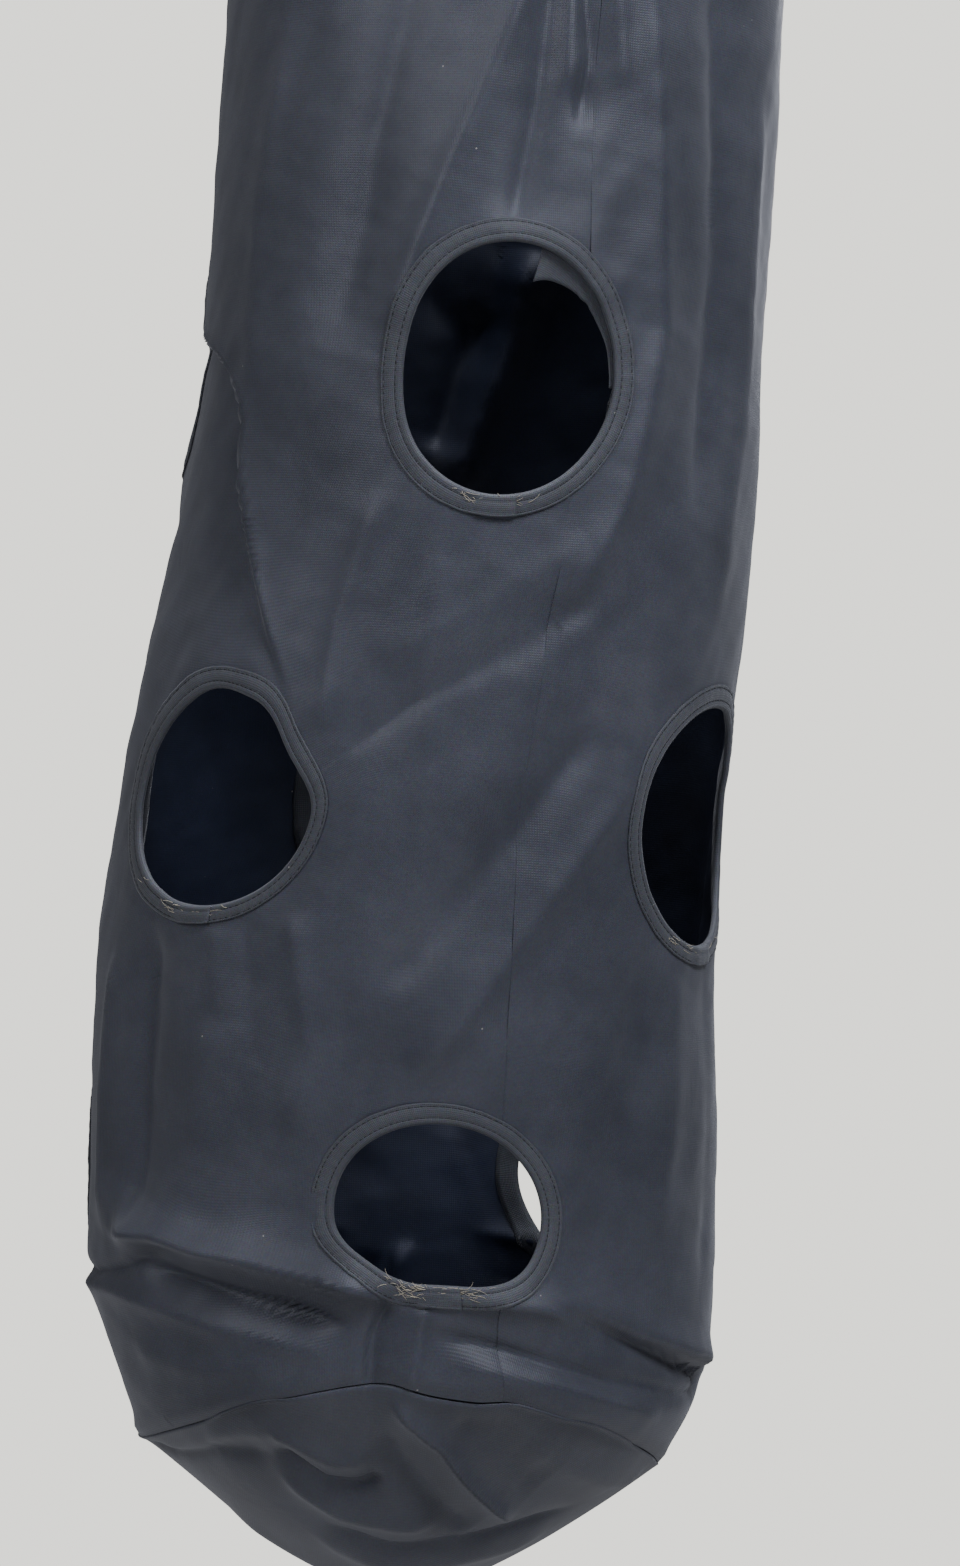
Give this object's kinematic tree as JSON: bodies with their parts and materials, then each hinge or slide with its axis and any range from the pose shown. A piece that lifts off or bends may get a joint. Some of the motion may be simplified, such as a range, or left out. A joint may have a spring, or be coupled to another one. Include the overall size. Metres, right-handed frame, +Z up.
{
  "type": "hanging storage tube",
  "caption": "Long cloth tube that hangs from a ring, closed at the base and open at the top, with round faced hand holes in staggered rows.",
  "frame": {"origin": "where a hook bears inside the D-ring, on the underside of its round side", "axes": "+Z up along the hanging tube, front of the tube to -Y, wall behind it at +Y, +X to the right seen from the front"},
  "size_m": [0.296, 0.2901, 1.1022],
  "materials": {
    "wall_cloth": "coated plain weave, low satin sheen",
    "lining_cloth": "uncoated plain weave, matt",
    "strap_webbing": "narrow woven webbing, matt",
    "hoop_plastic": "extruded strip",
    "ring_steel": "nickel plated wire"
  },
  "bodies": {
    "ring": {"d_ring": "ring_steel"},
    "tube": {"left_wall_panel": "wall_cloth", "right_wall_panel": "wall_cloth", "back_wall_panel": "wall_cloth", "base_panel": "wall_cloth", "base_seam_allowance": "lining_cloth", "hem_casing": "lining_cloth", "mouth_hoop": "hoop_plastic", "front_strap": "strap_webbing", "left_strap": "strap_webbing", "right_strap": "strap_webbing", "front_seam_allowance_lower": "lining_cloth", "front_seam_allowance_middle": "lining_cloth", "front_seam_allowance_upper": "lining_cloth", "left_seam_allowance_lower": "lining_cloth", "left_seam_allowance_middle": "lining_cloth", "left_seam_allowance_upper": "lining_cloth", "right_seam_allowance_lower": "lining_cloth", "right_seam_allowance_middle": "lining_cloth", "right_seam_allowance_upper": "lining_cloth", "lower_front_hole_facing": "lining_cloth", "lower_right_hole_facing": "lining_cloth", "lower_left_hole_facing": "lining_cloth", "middle_right_hole_facing": "lining_cloth", "middle_back_hole_facing": "lining_cloth", "middle_left_hole_facing": "lining_cloth", "upper_front_hole_facing": "lining_cloth", "upper_right_hole_facing": "lining_cloth", "upper_left_hole_facing": "lining_cloth"}
  },
  "joints": [
    {"name": "tube_swing", "type": "hinge", "parent": "ring", "child": "tube", "pos_m": [0, 0, -0.035], "axis": [1, 0, 0], "range_deg": [-90, 90]}
  ]
}
